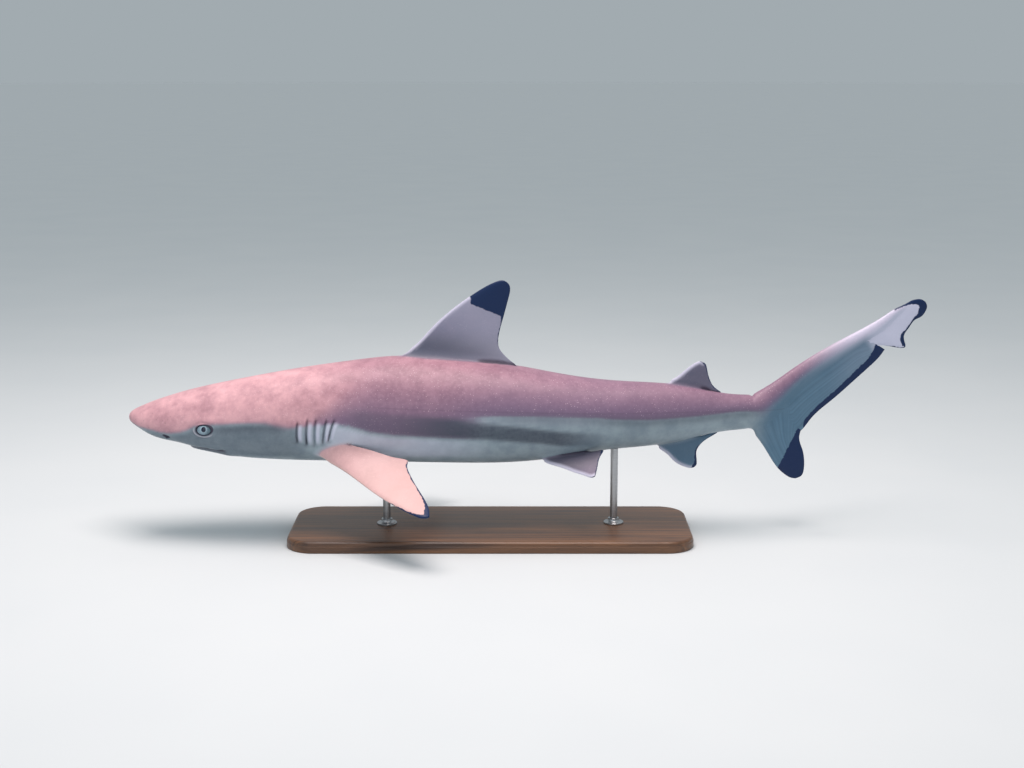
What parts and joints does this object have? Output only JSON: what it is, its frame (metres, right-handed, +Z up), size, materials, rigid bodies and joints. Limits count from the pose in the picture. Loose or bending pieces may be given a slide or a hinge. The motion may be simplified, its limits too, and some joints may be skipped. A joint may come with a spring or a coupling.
{
  "type": "blacktip reef shark model",
  "caption": "Life-size model of a blacktip reef shark swimming level, its tail swung gently aside, held over a flat wooden base by short steel rods.",
  "frame": {"origin": "centre of the whole model's box, at floor level under the stand's base", "axes": "+X from the snout to the tail, +Y to the shark's right, +Z up"},
  "size_m": [1.2654, 0.3972, 0.411],
  "materials": {
    "skin": "satin, fine denticle grain, grey-brown above, white below, black fin tips",
    "eye": "wet gloss",
    "stand_wood": "satin oiled walnut",
    "stand_steel": "fine brushed"
  },
  "bodies": {
    "root": {"snout": "skin", "head": "skin", "lower_jaw": "skin", "gill_region": "skin", "trunk_front": "skin", "trunk_rear": "skin", "tail_stalk": "skin", "caudal_upper_lobe": "skin", "caudal_terminal_lobe": "skin", "caudal_lower_lobe": "skin", "first_dorsal_fin": "skin", "second_dorsal_fin": "skin", "anal_fin": "skin", "pectoral_fin_left": "skin", "pectoral_fin_right": "skin", "pelvic_fin_left": "skin", "pelvic_fin_right": "skin", "eye_left": "eye", "eye_right": "eye", "stand_base": "stand_wood", "stand_rod_front": "stand_steel", "stand_collar_front": "stand_steel", "stand_rod_rear": "stand_steel", "stand_collar_rear": "stand_steel"}
  },
  "joints": []
}
